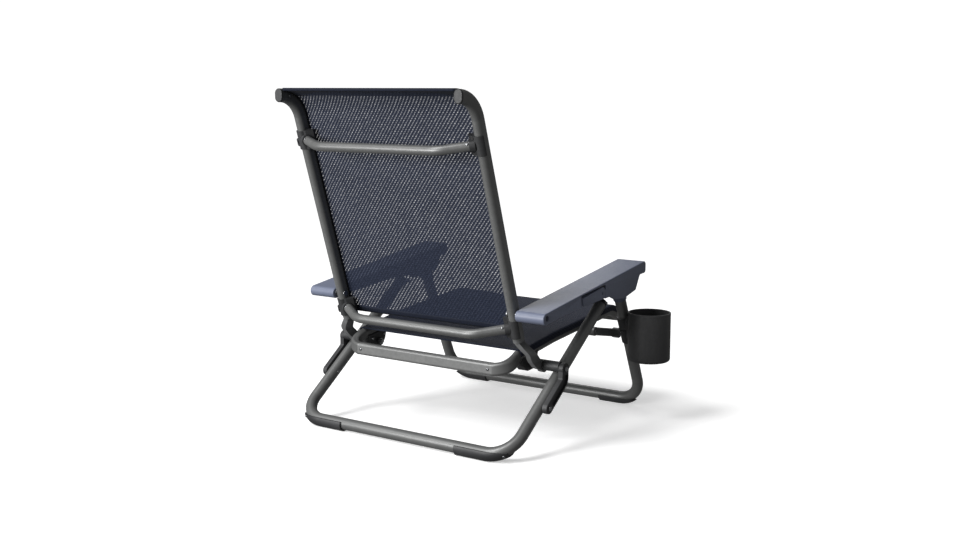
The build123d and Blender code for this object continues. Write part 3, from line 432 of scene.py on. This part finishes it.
THREAD = taped_edge("thread", (0.014, 0.018, 0.036), (0.03, 0.037, 0.062))

SLOT_MATERIALS = {
    "frame_tube": FRAME_GREY,
    "cast_arm": CAST_GREY,
    "black_plastic": BLACK_PLASTIC,
    "navy_plastic": NAVY_PLASTIC,
    "bright_metal": BRIGHT,
    "mesh_fabric": HEM_TAPE,
}
OWN_MATERIALS = {
    "cup_body": CUP_PLASTIC,
    "lever_pin_left": NAVY_PLASTIC,
    "lever_pin_right": NAVY_PLASTIC,
}
for part in frame["record"]["subparts"]:
    material = OWN_MATERIALS.get(part["node"], SLOT_MATERIALS[part["material_slot"]])
    frame["nodes"][part["node"]].data.materials.clear()
    frame["nodes"][part["node"]].data.materials.append(material)


# ================================================================ back
def back_route():
    """Samples up the back cloth's middle surface."""
    low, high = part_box("back_sling")
    half = BACK_CAD_CLOTH / 2
    foot = (low.y + half * cos(BACK_LEAN), low.z + half * sin(BACK_LEAN))
    top = high.z - half
    corner = (foot[0] + (top - foot[1]) * tan(BACK_LEAN), top)
    return bent_route((foot, corner, (high.y, top)), (BACK_BEND,), ROUTE_STEP)


def back_surface():
    """Points, sizes and cloth coordinates of the back's woven sheet."""
    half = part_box("back_sling")[1].x
    samples = back_route()
    travelled = distances(samples)
    columns = 101
    points, uvs = [], []
    for (y, z, way_y, way_z), v in zip(samples, travelled):
        ends = min(1.0, v / 0.08, (travelled[-1] - v) / 0.08)
        for column in range(columns):
            x = half * (2 * column / (columns - 1) - 1)
            billow = BACK_BILLOW * (1 - (x / half) ** 2) * ends
            points.append((x, y + way_z * billow, z - way_y * billow))
            uvs.append((x, v))
    return points, uvs, len(samples), columns, 2 * half, travelled[-1]


def band(name, samples, half, lift, thickness, material):
    """A strip of cloth across the chair that follows a stretch of a route."""
    columns = 61
    points, uvs, v = [], [], distances(samples)
    for (y, z, way_y, way_z), along in zip(samples, v):
        for column in range(columns):
            x = half * (2 * column / (columns - 1) - 1)
            points.append((x, y + way_z * lift, z - way_y * lift))
            uvs.append((x, along))
    return cloth_piece(name, points, uvs, len(samples), columns, thickness, material)


def across_stitches(name, sample, half, lift, material):
    """A row of stitches across the chair at one place on a route."""
    y, z, way_y, way_z = sample
    count = int(2 * half / STITCH_PITCH)
    spots = []
    for side in (1, -1):
        normal = Vector((0, way_z, -way_y)) * side
        for index in range(count):
            x = (index + 0.5) * STITCH_PITCH - half
            spots.append((Vector((x, y, z)) + normal * lift, Vector((1, 0, 0)), normal))
    return stitches(name, spots, material)


points, uvs, rows, columns, back_wide, back_long = back_surface()
back_cloth = cloth_piece("back_cloth", points, uvs, rows, columns, CLOTH, BACK_MESH)
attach(back_cloth, "back")
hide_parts("back_sling")

back_line = back_route()
back_at = distances(back_line)
hem_samples = [s for s, v in zip(back_line, back_at) if v > back_long - HEM_DEEP]
foot_samples = [s for s, v in zip(back_line, back_at) if v < LOWER_HEM_DEEP]
back_half = back_wide / 2
back_trims = [
    band("back_top_hem", hem_samples, back_half, TOP_HEM_LIFT, TOP_HEM_THICK, HEM_TAPE),
    band("back_foot_hem", foot_samples, back_half, 0, HEM_THICK, HEM_TAPE),
    across_stitches("back_top_stitches", hem_samples[1], back_half - STITCH_INSET, TOP_STITCH_LIFT, THREAD),
    across_stitches("back_foot_stitches", foot_samples[-1], back_half - STITCH_INSET, HEM_THICK / 2, THREAD),
]
for side, label in ((1, "left"), (-1, "right")):
    edge = [Vector((side * (back_half + WELT_OUT), y, z)) for y, z, _, _ in back_line]
    back_trims.append(tube_piece(f"back_welt_{label}", edge, WELT_RADIUS, WELT_BLACK))
    seam = []
    for (y, z, way_y, way_z), v in list(zip(back_line, back_at))[1:-1]:
        spot = Vector((side * (back_half - SEAM_INSET), y, z))
        for face in (1, -1):
            normal = Vector((0, way_z, -way_y)) * face
            seam.append((spot + normal * CLOTH * 0.6, Vector((0, way_y, way_z)), normal))
    back_trims.append(stitches(f"back_seam_{label}", seam, THREAD))
for trim in back_trims:
    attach(trim, "back")


# ================================================================ seat
def seat_route(rise):
    """Samples from the seat's rear edge forward over the front bar, rise above the rails' centreline."""
    top = offset_route(SEAT_RAIL_ROUTE, rise)
    way = unit((top[3][0] - top[2][0], top[3][1] - top[2][1]))
    front_y = FRONT_BAR[0] - FRONT_WRAP
    corner = (front_y, top[3][1] + way[1] / way[0] * (front_y - top[3][0]))
    points = (*top[:3], corner, (front_y, FRONT_BAR[1] - 0.01))
    bends = (SEAT_RAIL_BENDS[0] + rise, SEAT_RAIL_BENDS[1] + rise, FRONT_WRAP)
    return bent_route(points, bends, ROUTE_STEP)


def seat_section():
    """(x, height above the flat, distance across) from one flap's lower edge to the other's."""
    drop = SEAT_RISE - 0.0008
    half = SEAT_HALF
    right_side = [(-half, -drop * (1 - i / 4)) for i in range(4)]
    corner = [
        (-half + SEAT_ROUND * (1 - cos(a)), -SEAT_ROUND * (1 - sin(a)))
        for a in (radians(15 * step) for step in range(7))
    ]
    right_side = [p for p in right_side if p[1] < -SEAT_ROUND]
    flat_steps = 90
    inner = half - SEAT_ROUND
    flat = [(inner * (2 * i / flat_steps - 1), 0.0) for i in range(1, flat_steps)]
    right = right_side + corner
    section = right + flat + [(-x, h) for x, h in reversed(right)]
    across, found = 0.0, []
    for index, (x, h) in enumerate(section):
        if index:
            across += hypot(x - section[index - 1][0], h - section[index - 1][1])
        found.append((x, h, across))
    return found


def seat_surface():
    """Points and cloth coordinates of the seat's woven sheet, with its sag between the rails."""
    samples = seat_route(SEAT_RISE)
    travelled = distances(samples)
    section = seat_section()
    points, uvs = [], []
    for (y, z, way_y, way_z), v in zip(samples, travelled):
        up_y, up_z = way_z, -way_y
        ends = max(0.0, min(1.0, v / 0.06, (travelled[-1] - 0.05 - v) / 0.06))
        for x, height, across in section:
            inside = max(0.0, 1 - (x / SEAT_FLAT_HALF) ** 2)
            lift = height - SEAT_SAG * inside * ends
            points.append((x, y + up_y * lift, z + up_z * lift))
            uvs.append((across, v))
    return points, uvs, len(samples), len(section), section[-1][2], travelled[-1]


points, uvs, rows, columns, seat_wide, seat_long = seat_surface()
seat_cloth = cloth_piece("seat_cloth", points, uvs, rows, columns, CLOTH, SEAT_MESH)
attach(seat_cloth, "seat_frame")
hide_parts("seat_sling")

seat_line = seat_route(SEAT_RISE)
seat_at = distances(seat_line)
rear_samples = [s for s, v in zip(seat_line, seat_at) if v < LOWER_HEM_DEEP]
front_samples = [s for s, v in zip(seat_line, seat_at) if v > seat_long - FRONT_HEM_DEEP]
seat_trims = [
    band("seat_rear_hem", rear_samples, SEAT_HEM_HALF, 0, HEM_THICK, HEM_TAPE),
    band("seat_front_hem", front_samples, SEAT_HEM_HALF, 0, HEM_THICK, HEM_TAPE),
    across_stitches("seat_rear_stitches", rear_samples[-1], SEAT_FLAT_HALF, HEM_THICK / 2, THREAD),
]
flap_line = seat_route(FLAP_SEAM_RISE)
for side, label in ((1, "left"), (-1, "right")):
    seam = []
    for y, z, way_y, way_z in flap_line[1:-4]:
        spot = Vector((side * (SEAT_HALF + CLOTH * 0.6), y, z))
        seam.append((spot, Vector((0, way_y, way_z)), Vector((side, 0, 0))))
    seat_trims.append(stitches(f"seat_seam_{label}", seam, THREAD))
for trim in seat_trims:
    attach(trim, "seat_frame")


# ================================================================ small details
def ring_piece(name, centre, axis, radius, thick, material, turns=96):
    """A round bead about an axis."""
    axis = Vector(axis).normalized()
    across = axis.orthogonal().normalized()
    other = axis.cross(across)
    sides = 8
    points, faces = [], []
    for turn in range(turns):
        angle = 2 * pi * turn / turns
        out = cos(angle) * across + sin(angle) * other
        for side in range(sides):
            bead = 2 * pi * side / sides
            points.append(Vector(centre) + out * (radius + thick * cos(bead)) + axis * thick * sin(bead))
    for turn in range(turns):
        for side in range(sides):
            a = turn * sides + side
            b = turn * sides + (side + 1) % sides
            c = ((turn + 1) % turns) * sides + (side + 1) % sides
            d = ((turn + 1) % turns) * sides + side
            faces.append((a, b, c, d))
    return mesh_object(name, points, faces, material)


cup_low, cup_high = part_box("cup_body")
cup_radius = (cup_high.y - cup_low.y) / 2
cup_centre = (cup_low.x + cup_radius, (cup_low.y + cup_high.y) / 2)
for label, height in (("rim", cup_high.z - 0.0055), ("waist", cup_low.z + 0.0105)):
    bead = ring_piece(
        f"cup_{label}_bead", (*cup_centre, height), (0, 0, 1), cup_radius - 0.0002, 0.0005, CUP_PLASTIC
    )
    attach(bead, "cup_holder")

# ================================================================ stage
FLOOR_HALF, FLOOR_LEVEL = 60.0, -0.0004
FLOOR_TONE, FLOOR_GLOW = 0.92, 0.45
AMBIENT, BACKDROP = 0.17, 1.05  # strength of the surroundings as a light, and where they are seen


def floor_piece():
    """Plain pale floor."""
    made, tree, shader = new_material("floor", Roughness=0.9)
    shader.inputs["Specular IOR Level"].default_value = 0.1
    shader.inputs["Base Color"].default_value = (FLOOR_TONE, FLOOR_TONE, FLOOR_TONE, 1)
    shader.inputs["Emission Color"].default_value = (1, 1, 1, 1)
    shader.inputs["Emission Strength"].default_value = FLOOR_GLOW
    signs = ((-1, -1), (1, -1), (1, 1), (-1, 1))
    corners = [(x * FLOOR_HALF, y * FLOOR_HALF, FLOOR_LEVEL) for x, y in signs]
    floor = mesh_object("floor", corners, [(0, 1, 2, 3)], made)
    floor.visible_diffuse = floor.visible_glossy = False


def world_light(ambient, shown):
    """White surroundings: bright where they are seen, dimmer as a light."""
    world = bpy.data.worlds.new("studio")
    bpy.context.scene.world = world
    world.use_nodes = True
    tree = world.node_tree
    back = tree.nodes["Background"]
    path = node(tree, "ShaderNodeLightPath")
    back.inputs["Color"].default_value = (1, 1, 1, 1)
    strength = math(tree, "MULTIPLY_ADD", path.outputs["Is Camera Ray"], shown - ambient, ambient)
    tree.links.new(strength, back.inputs["Strength"])


def aim(made, target):
    """Turn a lamp or camera to face a point."""
    made.rotation_euler = (Vector(target) - made.location).to_track_quat("-Z", "Y").to_euler()


def sun(name, place, strength, spread):
    """Distant soft lamp shining from a place towards the chair."""
    data = bpy.data.lights.new(name, "SUN")
    data.energy, data.angle = strength, radians(spread)
    made = bpy.data.objects.new(name, data)
    bpy.context.scene.collection.objects.link(made)
    made.location = place
    aim(made, (0, 0, 0.3))


def panel(name, place, target, size, power):
    """Large soft area lamp."""
    data = bpy.data.lights.new(name, "AREA")
    data.shape, data.size, data.size_y, data.energy = "RECTANGLE", size[0], size[1], power
    made = bpy.data.objects.new(name, data)
    bpy.context.scene.collection.objects.link(made)
    made.location = place
    made.visible_camera = False
    aim(made, target)


floor_piece()
world_light(AMBIENT, BACKDROP)
sun("key", (1.3, 2.2, 3.6), 2.1, 24)
panel("rear_softbox", (1.2, 3.4, 1.1), (0, 0.1, 0.4), (1.8, 1.5), 132)
panel("front_softbox", (0.75, -1.3, 1.1), (-0.3, 0.1, 0.35), (0.6, 0.4), 2.2)

CAMERA_PLACE = (-1.82303, 2.52385, 0.83538)
CAMERA_TURN = (1.41967, 0.0, -2.52598718)
camera = bpy.data.objects.new("camera", bpy.data.cameras.new("camera"))
camera.location, camera.rotation_euler = CAMERA_PLACE, CAMERA_TURN
camera.data.lens, camera.data.sensor_width = 45.925, 36
camera.data.clip_end = 100
bpy.context.scene.collection.objects.link(camera)
bpy.context.scene.camera = camera
bpy.context.scene.view_settings.view_transform = "Standard"
